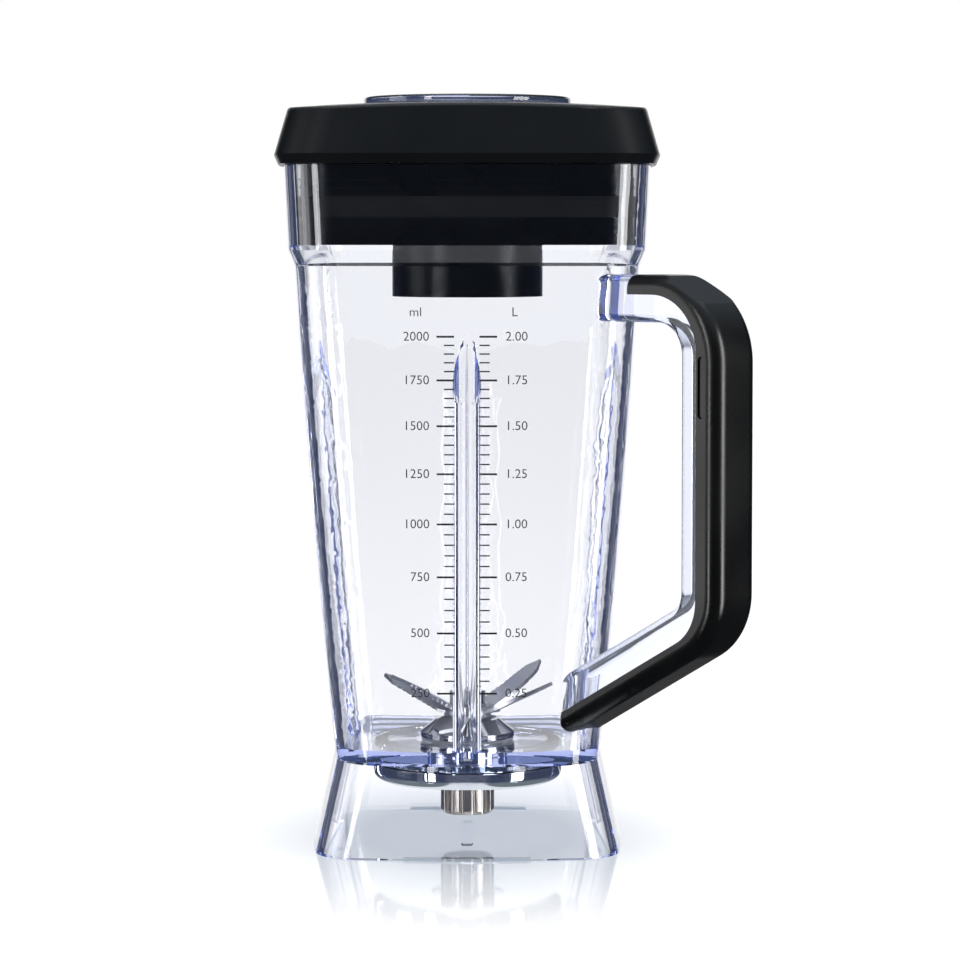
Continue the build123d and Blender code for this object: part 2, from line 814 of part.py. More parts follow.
parts = {
    "jar_body": jar_body(),
    "handle_grip": handle_grip(),
    "lid_cover": lid_cover(),
    "lid_plug": lid_plug(),
    "lid_seal": lid_seal(),
    "filler_cap": filler_cap(),
    "bearing_housing": bearing_housing(),
    "housing_gasket": housing_gasket(),
    "retainer_nut": retainer_nut(),
    "shaft_seal": shaft_seal(),
    "bearing_circlip": bearing_circlip(),
    "lower_bearing_outer_ring": bearing_outer_ring(lower_bearing_bottom),
    "lower_bearing_inner_ring": bearing_inner_ring(lower_bearing_bottom),
    "bearing_spacer": bearing_spacer(),
    "upper_bearing_outer_ring": bearing_outer_ring(upper_bearing_bottom),
    "upper_bearing_inner_ring": bearing_inner_ring(upper_bearing_bottom),
    "blade_spacer": blade_spacer(),
    "blade_lower": blade(lower_blade_reach, lower_blade_lift_deg, lower_blade_angle_deg, blade_base),
    "blade_middle": blade(
        middle_blade_reach, middle_blade_lift_deg, middle_blade_angle_deg, blade_base + blade_thickness
    ),
    "blade_upper": blade(
        upper_blade_reach, upper_blade_lift_deg, upper_blade_angle_deg, blade_base + 2 * blade_thickness
    ),
    "blade_washer": blade_washer(),
    "blade_nut": blade_nut(),
    "blade_shaft": blade_shaft(),
    "drive_coupling": drive_coupling(),
}

os.makedirs("parts", exist_ok=True)
for name, shape in parts.items():
    export_step(shape, f"parts/{name}.step")
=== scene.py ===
# %% [markdown]
# # Dressing a blender jar
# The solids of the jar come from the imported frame: clear moulding, black lid, steel blades.
# They already have the right shape and place, so this lesson gives them their finishes,
# prints the measuring scale on the front wall, and sets up a bright studio around them.
# Every length is in metres, with +Z up and the front wall facing -Y.

# %% Load the frame
import math

import bmesh
import bpy
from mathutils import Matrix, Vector
from mathutils.bvhtree import BVHTree


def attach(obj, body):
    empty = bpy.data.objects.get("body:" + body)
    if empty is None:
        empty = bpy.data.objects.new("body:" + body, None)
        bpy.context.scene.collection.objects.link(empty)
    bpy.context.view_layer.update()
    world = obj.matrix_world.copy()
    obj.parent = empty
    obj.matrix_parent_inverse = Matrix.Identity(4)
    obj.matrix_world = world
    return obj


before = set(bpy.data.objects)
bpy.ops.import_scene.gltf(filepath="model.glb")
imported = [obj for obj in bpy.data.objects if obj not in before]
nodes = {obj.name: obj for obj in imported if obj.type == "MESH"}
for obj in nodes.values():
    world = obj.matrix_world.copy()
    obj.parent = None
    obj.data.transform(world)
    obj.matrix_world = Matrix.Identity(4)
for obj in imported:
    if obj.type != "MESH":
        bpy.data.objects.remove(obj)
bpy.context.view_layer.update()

scene = bpy.context.scene

# %% [markdown]
# ## Small helpers for shader trees
# A shader tree is built from nodes and links. A few helpers keep each material short:
# they set a node's values by name, add a node, mix two colours, make a node group with
# named sockets, start a material with its Principled BSDF, and place a group in it.
# A group is the right tool for an effect that several finishes share, because each
# material can then place it with its own values.
# A mix node keeps sockets for every kind of data, and several have the same name, so its
# colour sockets are found by number.

# %% Shader helpers
MIX_FACTOR, MIX_FIRST, MIX_SECOND, MIX_RESULT = 0, 6, 7, 2


def set_sockets(made, sockets):
    """Sets the input values of a node by name."""
    for name, value in sockets.items():
        made.inputs[name].default_value = value
    return made


def add_node(tree, kind, settings=None, sockets=None):
    """A new node, with its properties and its input values set by name."""
    made = tree.nodes.new(kind)
    for name, value in (settings or {}).items():
        setattr(made, name, value)
    return set_sockets(made, sockets or {})


def mix_colours(tree, factor, first, second):
    """A mix of two colours; each is a colour or the output of another node."""
    made = add_node(tree, "ShaderNodeMix", {"data_type": "RGBA"})
    tree.links.new(factor, made.inputs[MIX_FACTOR])
    for index, value in ((MIX_FIRST, first), (MIX_SECOND, second)):
        if isinstance(value, tuple):
            made.inputs[index].default_value = value
        else:
            tree.links.new(value, made.inputs[index])
    return made.outputs[MIX_RESULT]


def new_group(name, inputs, outputs):
    """A node group with named inputs (name, kind, value) and outputs (name, kind)."""
    group = bpy.data.node_groups.new(name, "ShaderNodeTree")
    for label, kind, value in inputs:
        socket = group.interface.new_socket(label, in_out="INPUT", socket_type=kind)
        socket.default_value = value
    for label, kind in outputs:
        group.interface.new_socket(label, in_out="OUTPUT", socket_type=kind)
    return group, group.nodes.new("NodeGroupInput"), group.nodes.new("NodeGroupOutput")


def new_finish(name, sockets):
    """A material whose Principled BSDF has its constant values set on its own sockets."""
    material = bpy.data.materials.new(name)
    material.use_nodes = True
    tree = material.node_tree
    return material, tree, set_sockets(tree.nodes["Principled BSDF"], sockets)


def place_group(tree, group, sockets):
    """An instance of a node group inside a material, with its own values."""
    return add_node(tree, "ShaderNodeGroup", {"node_tree": group}, sockets)


print("helpers ready")

# %% [markdown]
# ## What the finishes share
# No real surface is equally shiny all over, so every finish here has a roughness that
# wanders between a low and a high value, which each material chooses. Two helpers build
# that inside a group: one spreads a noise between the two values, and one makes a noise
# that is drawn out along an axis. Noise in object space follows the solids without any
# unwrapping, and the pattern stays on the piece when it moves.

# %% Parts of the groups
FLOAT, VECTOR = "NodeSocketFloat", "NodeSocketVector"
finish_inputs = [("Roughness Low", FLOAT, 0.3), ("Roughness High", FLOAT, 0.4)]
finish_outputs = [("Roughness", FLOAT), ("Height", FLOAT), ("Shade", FLOAT)]
noise_band = {"From Min": 0.3, "From Max": 0.7}


def roughness_from(group, group_in, group_out, noise):
    """Spreads a noise between the group's two roughness inputs."""
    gloss = add_node(group, "ShaderNodeMapRange", None, noise_band)
    group.links.new(noise.outputs["Fac"], gloss.inputs["Value"])
    group.links.new(group_in.outputs["Roughness Low"], gloss.inputs["To Min"])
    group.links.new(group_in.outputs["Roughness High"], gloss.inputs["To Max"])
    group.links.new(gloss.outputs["Result"], group_out.inputs["Roughness"])


def stretched_noise(group, group_in, place, sockets):
    """A noise in object space, drawn out by the group's Stretch input."""
    stretch = add_node(group, "ShaderNodeVectorMath", {"operation": "MULTIPLY"})
    noise = add_node(group, "ShaderNodeTexNoise", None, sockets)
    group.links.new(place.outputs["Object"], stretch.inputs[0])
    group.links.new(group_in.outputs["Stretch"], stretch.inputs[1])
    group.links.new(stretch.outputs["Vector"], noise.inputs["Vector"])
    return noise


def socket_names(group):
    return [item.name for item in group.interface.items_tree]


print("outputs of a finish:", [name for name, kind in finish_outputs])

# %% [markdown]
# ## Moulded skin
# Black lid, plug and grip are injection moulded in a tool with a fine spark-eroded skin.
# That skin shows as a fine grain, and as broad patches that are a little more or less
# shiny. Two noise textures give these, one fine and one broad.

# %% Group: moulded skin
skin, skin_in, skin_out = new_group(
    "moulded skin",
    [("Grain Scale", FLOAT, 1500.0), ("Patch Scale", FLOAT, 30.0), *finish_inputs],
    finish_outputs,
)
skin_place = add_node(skin, "ShaderNodeTexCoord")
skin_grain = add_node(skin, "ShaderNodeTexNoise", None, {"Detail": 3.0, "Roughness": 0.6})
skin_patch = add_node(skin, "ShaderNodeTexNoise", None, {"Detail": 2.0, "Roughness": 0.5})
for texture, scale in ((skin_grain, "Grain Scale"), (skin_patch, "Patch Scale")):
    skin.links.new(skin_place.outputs["Object"], texture.inputs["Vector"])
    skin.links.new(skin_in.outputs[scale], texture.inputs["Scale"])
roughness_from(skin, skin_in, skin_out, skin_patch)
skin.links.new(skin_grain.outputs["Fac"], skin_out.inputs["Height"])
skin.links.new(skin_patch.outputs["Fac"], skin_out.inputs["Shade"])
print("group:", skin.name, socket_names(skin))

# %% [markdown]
# ## Drawn steel
# Blades, housing, shaft and coupling are steel that was drawn, stamped, turned or ground.
# Each of these leaves marks that run one way. A noise texture that is stretched along
# one axis gives such marks, and the stretch is an input, so a turned piece can have
# rings while a stamped one has straight lines.

# %% Group: drawn steel
drawn, drawn_in, drawn_out = new_group(
    "drawn steel", [("Stretch", VECTOR, (300.0, 300.0, 4000.0)), *finish_inputs], finish_outputs
)
drawn_place = add_node(drawn, "ShaderNodeTexCoord")
drawn_marks = stretched_noise(
    drawn, drawn_in, drawn_place, {"Scale": 1.0, "Detail": 4.0, "Roughness": 0.65}
)
drawn_cloud = add_node(drawn, "ShaderNodeTexNoise", None, {"Scale": 120.0, "Detail": 2.0})
drawn.links.new(drawn_place.outputs["Object"], drawn_cloud.inputs["Vector"])
roughness_from(drawn, drawn_in, drawn_out, drawn_marks)
drawn.links.new(drawn_marks.outputs["Fac"], drawn_out.inputs["Height"])
drawn.links.new(drawn_cloud.outputs["Fac"], drawn_out.inputs["Shade"])
print("group:", drawn.name, socket_names(drawn))

# %% [markdown]
# ## Clear flow
# Clear plastic flows into its mould from one gate and keeps a trace of that flow:
# some of its surface is a trace less sharp than glass. A slow noise that is drawn out
# along the height gives that trace of roughness. A bump would be the wrong tool here,
# because even a weak one makes everything behind the walls look crumpled.

# %% Group: clear flow
flow, flow_in, flow_out = new_group(
    "clear flow", [("Stretch", VECTOR, (18.0, 18.0, 6.0)), *finish_inputs], [("Roughness", FLOAT)]
)
flow_place = add_node(flow, "ShaderNodeTexCoord")
flow_waves = stretched_noise(flow, flow_in, flow_place, {"Scale": 1.0, "Detail": 1.0})
roughness_from(flow, flow_in, flow_out, flow_waves)
print("group:", flow.name, socket_names(flow))

# %% [markdown]
# ## Clear plastic for the jar and the cap
# The jar is a tough clear plastic with a trace of blue, which only shows where one looks
# along a wall and the light has a long way through it. A tinted base colour would tint
# every surface alike. Absorption in the volume grows with the way through the plastic,
# so thin walls stay clear and edges turn blue, as on the real jar.
# In the thick floor some light is mirrored to and fro and never comes out, which would
# look black. A real plastic scatters a little of it. Here the volume instead gives off a
# faint painted blue glow of its own, an emission that stands in for that light.

# %% Material: clear plastic
clear_surface = {
    "Base Color": (0.990, 0.992, 1.0, 1.0),
    "IOR": 1.56,
    "Transmission Weight": 1.0,
}
clear_roughness = {"Roughness Low": 0.0, "Roughness High": 0.008}
# Painted glow: the light that the volume of the plastic gives off by itself.
painted_volume_glow = {"Color": (0.52, 0.72, 1.0, 1.0), "Strength": 0.9}


def clear_plastic(name, tint, density):
    """A clear finish whose blue grows with the way through the plastic; its volume gives off a
    painted blue glow.
    """
    material, tree, shader = new_finish(name, clear_surface)
    surface = place_group(tree, flow, clear_roughness)
    absorption = add_node(
        tree, "ShaderNodeVolumeAbsorption", None, {"Color": tint, "Density": density}
    )
    # Painted glow: the volume emits a faint blue light of its own, though it is no lamp.
    glow = add_node(tree, "ShaderNodeEmission", None, painted_volume_glow)
    body = add_node(tree, "ShaderNodeAddShader")
    tree.links.new(surface.outputs["Roughness"], shader.inputs["Roughness"])
    tree.links.new(absorption.outputs["Volume"], body.inputs[0])
    tree.links.new(glow.outputs["Emission"], body.inputs[1])
    tree.links.new(body.outputs["Shader"], tree.nodes["Material Output"].inputs["Volume"])
    return material


jar_clear = clear_plastic("jar clear", tint=(0.42, 0.50, 0.90, 1.0), density=13.0)
cap_clear = clear_plastic("cap clear", tint=(0.50, 0.52, 0.88, 1.0), density=10.0)
print("materials:", jar_clear.name, cap_clear.name)

# %% [markdown]
# ## Black plastics
# Lid, plug and grip look alike at first, but each has its own black and its own gloss.
# The black seals and the grey gasket are dull soft rubber. One function makes all of them
# from the moulded skin, each with its own values. The links from a group to the shader
# are the same for plastics and steels, so a helper makes them.

# %% Material: black plastics
skin_strength = 0.25
plastic_ior = 1.5


def link_surface(tree, shader, surface, dark, pale, bump_strength, bump_depth):
    """Links a group's shade, roughness and height to the shader."""
    tone = mix_colours(tree, surface.outputs["Shade"], dark, pale)
    bump = add_node(
        tree, "ShaderNodeBump", None, {"Strength": bump_strength, "Distance": bump_depth}
    )
    tree.links.new(tone, shader.inputs["Base Color"])
    tree.links.new(surface.outputs["Roughness"], shader.inputs["Roughness"])
    tree.links.new(surface.outputs["Height"], bump.inputs["Height"])
    tree.links.new(bump.outputs["Normal"], shader.inputs["Normal"])


def black_plastic(name, dark, pale, roughness, grain_scale, grain_depth, specular):
    """A moulded plastic or rubber between two tones and two values of roughness."""
    material, tree, shader = new_finish(name, {"IOR": plastic_ior, "Specular IOR Level": specular})
    low, high = roughness
    surface = place_group(
        tree, skin, {"Grain Scale": grain_scale, "Roughness Low": low, "Roughness High": high}
    )
    link_surface(tree, shader, surface, dark, pale, skin_strength, grain_depth)
    return material


lid_black = black_plastic(
    "lid black",
    dark=(0.0016, 0.0022, 0.0028, 1.0),
    pale=(0.0028, 0.0038, 0.005, 1.0),
    roughness=(0.26, 0.36),
    grain_scale=1800.0,
    grain_depth=0.00006,
    specular=0.32,
)
plug_black = black_plastic(
    "plug black",
    dark=(0.0005, 0.0007, 0.0009, 1.0),
    pale=(0.001, 0.0014, 0.0017, 1.0),
    roughness=(0.22, 0.34),
    grain_scale=1500.0,
    grain_depth=0.00005,
    specular=0.2,
)
grip_black = black_plastic(
    "grip black",
    dark=(0.0012, 0.0014, 0.0016, 1.0),
    pale=(0.0025, 0.0028, 0.003, 1.0),
    roughness=(0.24, 0.32),
    grain_scale=2200.0,
    grain_depth=0.00006,
    specular=0.5,
)
seal_black = black_plastic(
    "seal rubber",
    dark=(0.004, 0.004, 0.004, 1.0),
    pale=(0.009, 0.009, 0.009, 1.0),
    roughness=(0.5, 0.65),
    grain_scale=1200.0,
    grain_depth=0.0001,
    specular=0.3,
)
gasket_grey = black_plastic(
    "gasket rubber",
    dark=(0.35, 0.37, 0.42, 1.0),
    pale=(0.45, 0.47, 0.52, 1.0),
    roughness=(0.45, 0.6),
    grain_scale=1200.0,
    grain_depth=0.0001,
    specular=0.4,
)
plastics = (lid_black, plug_black, grip_black, seal_black, gasket_grey)
print("plastics:", [material.name for material in plastics])

# %% [markdown]
# ## Steels and chrome
# The blades are ground sheet, the coupling is turned bar, the housing is polished and
# the disc under the floor is chromed. All are metals, so their colour is in the
# reflection, and what tells them apart is how rough they are and which way they are marked.

# %% Material: steels
mark_strength = 0.2


def steel(name, dark, pale, roughness, stretch, mark_depth):
    """A metal between two tones, with marks that run along its stretch."""
    material, tree, shader = new_finish(name, {"Metallic": 1.0})
    low, high = roughness
    surface = place_group(
        tree, drawn, {"Stretch": stretch, "Roughness Low": low, "Roughness High": high}
    )
    link_surface(tree, shader, surface, dark, pale, mark_strength, mark_depth)
    return material


blade_steel = steel(
    "blade steel",
    dark=(0.60, 0.60, 0.61, 1.0),
    pale=(0.74, 0.74, 0.75, 1.0),
    roughness=(0.26, 0.4),
    stretch=(900.0, 2600.0, 900.0),
    mark_depth=0.00004,
)
housing_steel = steel(
    "housing steel",
    dark=(0.52, 0.52, 0.54, 1.0),
    pale=(0.62, 0.62, 0.64, 1.0),
    roughness=(0.08, 0.16),
    stretch=(150.0, 150.0, 3000.0),
    mark_depth=0.00002,
)
turned_steel = steel(
    "turned steel",
    dark=(0.46, 0.45, 0.45, 1.0),
    pale=(0.6, 0.59, 0.58, 1.0),
    roughness=(0.18, 0.3),
    stretch=(200.0, 200.0, 3500.0),
    mark_depth=0.00003,
)
coupling_steel = steel(
    "coupling steel",
    dark=(0.42, 0.385, 0.36, 1.0),
    pale=(0.54, 0.50, 0.47, 1.0),
    roughness=(0.28, 0.4),
    stretch=(2500.0, 2500.0, 250.0),
    mark_depth=0.00003,
)
spring_steel = steel(
    "spring steel",
    dark=(0.16, 0.16, 0.17, 1.0),
    pale=(0.24, 0.24, 0.25, 1.0),
    roughness=(0.28, 0.4),
    stretch=(300.0, 300.0, 2500.0),
    mark_depth=0.00002,
)
chrome = steel(
    "chrome plate",
    dark=(0.74, 0.77, 0.80, 1.0),
    pale=(0.80, 0.83, 0.86, 1.0),
    roughness=(0.02, 0.06),
    stretch=(60.0, 60.0, 900.0),
    mark_depth=0.00001,
)
metals = (blade_steel, housing_steel, turned_steel, coupling_steel, spring_steel, chrome)
print("metals:", [material.name for material in metals])

# %% [markdown]
# ## Put the finishes on the solids
# A solid keeps its mesh and its place. Only the material in its slot changes. Shaft,
# bearings and sleeves are not in the list, and get the turned steel.

# %% Dress the nodes
finish_of = {
    "jar_body": jar_clear,
    "filler_cap": cap_clear,
    "lid_cover": lid_black,
    "lid_plug": plug_black,
    "lid_seal": seal_black,
    "handle_grip": grip_black,
    "shaft_seal": seal_black,
    "housing_gasket": gasket_grey,
    "retainer_nut": chrome,
    "bearing_housing": housing_steel,
    "blade_washer": housing_steel,
    "blade_nut": housing_steel,
    "blade_lower": blade_steel,
    "blade_middle": blade_steel,
    "blade_upper": blade_steel,
    "drive_coupling": coupling_steel,
    "bearing_circlip": spring_steel,
}
for name, solid in nodes.items():
    material = finish_of.get(name, turned_steel)
    if not solid.material_slots:
        solid.data.materials.append(material)
    for holder in solid.material_slots:
        holder.material = material
print("dressed:", len(nodes), "nodes,", len(set(finish_of.values())) + 1, "finishes")

# %% [markdown]
# ## Where the marks of the scale go
# A measuring scale is printed where the liquid stands, so its marks follow the volume
# of the jar and lie closer together where the jar is wider. Instead of copying
# the heights, they can be worked out: a fan of rays from the drive axis finds the inner
# wall at each height, the fan's area gives the volume of a thin slice, and the slices
# add up to the level of each mark.

# %% Level of each volume
jar_mesh = nodes["jar_body"].data
jar_tree = BVHTree.FromPolygons(
    [vertex.co.copy() for vertex in jar_mesh.vertices],
    [tuple(face.vertices) for face in jar_mesh.polygons],
)
fan_rays = 72
slice_height = 0.001
floor_level = 0.0386
scale_top = 0.212
cubic_metres_per_ml = 1e-6
turns = [math.tau * i / fan_rays for i in range(fan_rays)]
fan = [Vector((math.cos(turn), math.sin(turn), 0.0)) for turn in turns]
levels = [(floor_level, 0.0)]
level = floor_level
while level < scale_top:
    centre = Vector((0.0, 0.0, level + slice_height / 2))
    reach = [jar_tree.ray_cast(centre, ray)[3] for ray in fan]
    area = sum(distance * distance for distance in reach) * math.pi / fan_rays
    levels.append((level + slice_height, levels[-1][1] + area * slice_height))
    level += slice_height


def level_of(millilitres):
    """Height at which the jar holds this volume."""
    volume = millilitres * cubic_metres_per_ml
    for (low, less), (high, more) in zip(levels, levels[1:]):
        if more >= volume:
            return low + (high - low) * (volume - less) / (more - less)
    return levels[-1][0]


for millilitres in (250, 2000):
    print(millilitres, "ml stand at", round(level_of(millilitres) * 1000, 1), "mm")

# %% [markdown]
# ## Printing on a bowed wall
# Ink lies on the wall as a film a few hundredths of a millimetre thick. Marks and letters
# are built flat, as thin closed slabs, and each of their points is then moved onto the
# wall by a ray from the front. A texture could do the same, but real geometry stays sharp
# close up and follows the bow of the wall.

# %% Ink film on the wall
ink_film = 0.00004
ink_lift = 0.00002
weld_distance = 1e-7
ray_start = -0.2
ray_way = Vector((0.0, 1.0, 0.0))


def wall_at(across, height):
    """Y of the front wall's outer face."""
    return jar_tree.ray_cast(Vector((across, ray_start, height)), ray_way)[0].y


def lay_on_wall(mesh):
    """Moves a flat mesh (x across, y up, z out of the wall) onto the front wall."""
    for vertex in mesh.vertices:
        across, height, out = vertex.co
        vertex.co = (across, wall_at(across, height) - ink_lift - out, height)
    mesh.update()


def add_piece(name, mesh, material):
    """A printed piece that rides with the jar."""
    piece = bpy.data.objects.new(name, mesh)
    scene.collection.objects.link(piece)
    mesh.materials.append(material)
    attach(piece, "jar")


ink_dark = (0.010, 0.010, 0.012, 1.0)
ink_pale = (0.028, 0.028, 0.032, 1.0)
ink_surface = {"Grain Scale": 4000.0, "Roughness Low": 0.45, "Roughness High": 0.6}
ink, ink_tree, ink_shader = new_finish(
    "scale ink", {"IOR": plastic_ior, "Specular IOR Level": 0.3}
)
ink_skin = place_group(ink_tree, skin, ink_surface)
ink_tone = mix_colours(ink_tree, ink_skin.outputs["Height"], ink_dark, ink_pale)
ink_tree.links.new(ink_tone, ink_shader.inputs["Base Color"])
ink_tree.links.new(ink_skin.outputs["Roughness"], ink_shader.inputs["Roughness"])
print("ink film:", round(ink_film * 1e6), "micrometres")

# %% [markdown]
# ## The tick marks
# Two columns stand left and right of the front flute, one for millilitres and one for
# litres. There is a short tick each 50 ml and a long, heavier one each 250 ml. Each tick
# is made of four slabs, so that it can follow the bow of the wall, and the faces between
# the slabs are taken out again. All marks are printed a little below the levels that were
# worked out, as they are on the real jar.

# %% Ticks
tick_inner = 0.0048
tick_short = (0.0039, 0.00054)
tick_long = (0.0067, 0.00076)
tick_parts = 4
mark_drop = 0.0014
scale_first, scale_last = 250, 2000
scale_step, number_step = 50, 250
ticks = bmesh.new()
for millilitres in range(scale_first, scale_last + 1, scale_step):
    length, thickness = tick_long if millilitres % number_step == 0 else tick_short
    height = level_of(millilitres) - mark_drop
    for side in (-1, 1):
        for part in range(tick_parts):
            start = tick_inner + length * part / tick_parts
            slab = bmesh.ops.create_cube(ticks, size=1.0)["verts"]
            for vertex in slab:
                vertex.co.x = side * (start + (vertex.co.x + 0.5) * length / tick_parts)
                vertex.co.y = height + vertex.co.y * thickness
                vertex.co.z = (vertex.co.z + 0.5) * ink_film
bmesh.ops.remove_doubles(ticks, verts=ticks.verts, dist=weld_distance)
between = [face for face in ticks.faces if all(len(edge.link_faces) > 2 for edge in face.edges)]
bmesh.ops.delete(ticks, geom=between, context="FACES_ONLY")
bmesh.ops.recalc_face_normals(ticks, faces=ticks.faces)
tick_mesh = bpy.data.meshes.new("scale_ticks")
ticks.to_mesh(tick_mesh)
ticks.free()
lay_on_wall(tick_mesh)
add_piece("scale_ticks", tick_mesh, ink)
print("ticks:", len(tick_mesh.polygons), "faces")

# %% [markdown]
# ## Numbers and units
# The figures are in a light upright sans. Blender's own font is a little heavier, so each
# letter is made thinner by a negative offset of its outline. The text becomes a mesh,
# is laid on the wall, and all figures are joined into one piece.

# %% Numbers
figure_height = 0.0050
figure_thinning = -0.004
figure_steps = 4
number_edge_left = -0.0142
number_edge_right = 0.0146
unit_left = -0.0194
unit_right = 0.0181
unit_level = 0.2105


def figure_mesh(text, across, height, align):
    """A flat, thin mesh of a short text."""
    curve = bpy.data.curves.new("figure", "FONT")
    curve.body = text
    curve.size = figure_height
    curve.align_x = align
    curve.align_y = "CENTER"
    curve.offset = figure_thinning * figure_height
    curve.extrude = ink_film / 2
    curve.resolution_u = figure_steps
    holder = bpy.data.objects.new("figure", curve)
    scene.collection.objects.link(holder)
    bpy.context.view_layer.update()
    shaped = holder.evaluated_get(bpy.context.evaluated_depsgraph_get())
    mesh = bpy.data.meshes.new_from_object(shaped)
    bpy.data.objects.remove(holder)
    for vertex in mesh.vertices:
        vertex.co += Vector((across, height, ink_film / 2))
    return mesh


numbers = bmesh.new()
labels = [("ml", unit_left, unit_level, "CENTER"), ("L", unit_right, unit_level, "CENTER")]
for millilitres in range(scale_first, scale_last + 1, number_step):
    height = level_of(millilitres) - mark_drop
    labels.append((str(millilitres), number_edge_left, height, "RIGHT"))
    labels.append((f"{millilitres / 1000:.2f}", number_edge_right, height, "LEFT"))
for text, across, height, align in labels:
    flat = figure_mesh(text, across, height, align)
    numbers.from_mesh(flat)
    bpy.data.meshes.remove(flat)
bmesh.ops.remove_doubles(numbers, verts=numbers.verts, dist=weld_distance)
number_mesh = bpy.data.meshes.new("scale_numbers")
numbers.to_mesh(number_mesh)
numbers.free()
lay_on_wall(number_mesh)
add_piece("scale_numbers", number_mesh, ink)
print("labels:", len(labels), "faces:", len(number_mesh.polygons))

# %% [markdown]
# ## The studio
# Clear things are lit by what stands behind them. A white wall behind the jar makes its
# walls bright, and dark cloth beside the wall draws the edges: where the plastic bends
# the view aside, the eye meets the cloth and sees a thin dark line. The studio is a tent,
# made in the shader tree of the world. The direction of a ray tells where it meets
# the tent, and the path of the ray tells which part of the studio it may see.
# Helpers come first again: a math node, a soft step, a mix, and two questions about
# the path.

# %% Tent helpers
world = bpy.data.worlds.new("studio tent")
scene.world = world
world.use_nodes = True
world.cycles.sampling_method = "NONE"
tent = world.node_tree
tent_path = add_node(tent, "ShaderNodeLightPath")
tent_place = add_node(tent, "ShaderNodeTexCoord")
tent_axes = add_node(tent, "ShaderNodeSeparateXYZ")
tent.links.new(tent_place.outputs["Generated"], tent_axes.inputs[0])
right, away, up = (tent_axes.outputs[axis] for axis in "XYZ")


def tent_math(operation, *values):
    """A math node in the tent; its values are numbers or the outputs of other nodes."""
    made = add_node(tent, "ShaderNodeMath", {"operation": operation})
    for index, value in enumerate(values):
        if isinstance(value, (int, float)):
            made.inputs[index].default_value = value
        else:
            tent.links.new(value, made.inputs[index])
    return made.outputs[0]


def tent_step(value, low, high):
    """A soft step from 0 at the low value to 1 at the high one."""
    made = add_node(
        tent,
        "ShaderNodeMapRange",
        {"interpolation_type": "SMOOTHSTEP"},
        {"From Min": low, "From Max": high},
    )
    tent.links.new(value, made.inputs["Value"])
    return made.outputs["Result"]


def tent_mix(factor, first, second):
    return mix_colours(tent, factor, first, second)


def at_least(count, depth):
    """1 for a ray that was mirrored, let through or scattered this often or more."""
    return tent_math("GREATER_THAN", tent_path.outputs[depth], count - 0.5)


def at_most(count, depth):
    """1 for a ray that was mirrored, let through or scattered this often or less."""
    return tent_math("LESS_THAN", tent_path.outputs[depth], count + 0.5)


print("world:", world.name)

# %% [markdown]
# ## Windows
# Light that went straight through the plastic meets a white window or the cloth between
# two windows. A room can have one white wall only, but this tent has a window in each
# of eight directions, so the jar looks clear from each side. High up it is all white.

# %% Windows
tent_white = (1.0, 1.0, 1.0, 1.0)
window_white = (1.10, 1.105, 1.115, 1.0)
cloth_dark = (0.012, 0.015, 0.03, 1.0)
window_turn_deg = 22.5
window_half_deg = 15.0
window_soft_deg = 2.0
roof_band = (0.55, 0.8)
angle = tent_math("DEGREES", tent_math("ARCTAN2", right, away))
beside = tent_math("PINGPONG", angle, window_turn_deg)
in_window = tent_step(beside, window_half_deg + window_soft_deg, window_half_deg)
through = tent_mix(in_window, cloth_dark, window_white)
through = tent_mix(tent_step(up, *roof_band), through, tent_white)
print("windows:", int(180 / window_turn_deg), "of", 2 * window_half_deg, "degrees")

# %% [markdown]
# ## Light that was turned back
# Edges, corners and the thick floor turn light back inside the plastic, and chrome and
# blades mirror light behind a clear wall. This light meets dark blue cloth that is paler
# high up, which draws the edges. Five patches lie on the cloth, each over the ones
# before it. In front it is near black. Below, the chromed disc mirrors the glow of the
# table in its middle and a dimmer one beside. Behind stands the white wall, which looks
# pale where the light was turned twice, and blue where it rises, as in the floor of the
# jar. Both sides are white, and so is light that was turned very often.

# %% Turned back light
turned_dark = (0.042, 0.052, 0.105, 1.0)
turned_high = (0.75, 0.78, 0.85, 1.0)
front_dark = (0.006, 0.008, 0.012, 1.0)
table_glow = (1.02, 1.05, 1.07, 1.0)
glow_beside = (0.20, 0.235, 0.26, 1.0)
floor_pale = (0.62, 0.66, 0.72, 1.0)
floor_blue = (0.30, 0.34, 0.42, 1.0)
high_band = (0.25, 0.7)
front_band = (-0.75, -0.9)
below_band = (-0.3, -0.6)
middle_band = (0.38, 0.28)
rising_band = (0.04, 0.10)
wall_band = (0.93, 0.98)
side_band = (0.90, 0.97)
one_wall = at_most(2, "Transmission Depth")


def behind_one_wall(mask):
    """The mask, for light that passed one wall of the plastic at most."""
    return tent_math("MULTIPLY", mask, one_wall)


aside = tent_math("ABSOLUTE", right)
glow = tent_mix(tent_step(aside, *middle_band), glow_beside, table_glow)
wall = tent_mix(behind_one_wall(at_least(2, "Glossy Depth")), tent_white, floor_pale)
wall = tent_mix(behind_one_wall(tent_step(up, *rising_band)), wall, floor_blue)
patches = [
    (behind_one_wall(tent_step(away, *front_band)), front_dark),
    (tent_step(up, *below_band), glow),
    (tent_step(away, *wall_band), wall),
    (behind_one_wall(tent_step(aside, *side_band)), tent_white),
    (behind_one_wall(at_least(4, "Glossy Depth")), tent_white),
]
turned_back = tent_mix(tent_step(up, *high_band), turned_dark, turned_high)
for mask, colour in patches:
    turned_back = tent_mix(mask, turned_back, colour)
print("patches on the cloth:", len(patches))

# %% [markdown]
# ## The room, and which part a ray sees
# Black plastic mirrors a dark room with a grey ceiling and one white wall behind the jar,
# so that it stays black and still has an outline. What the camera sees directly is white,
# and so is the light that falls on matt surfaces.

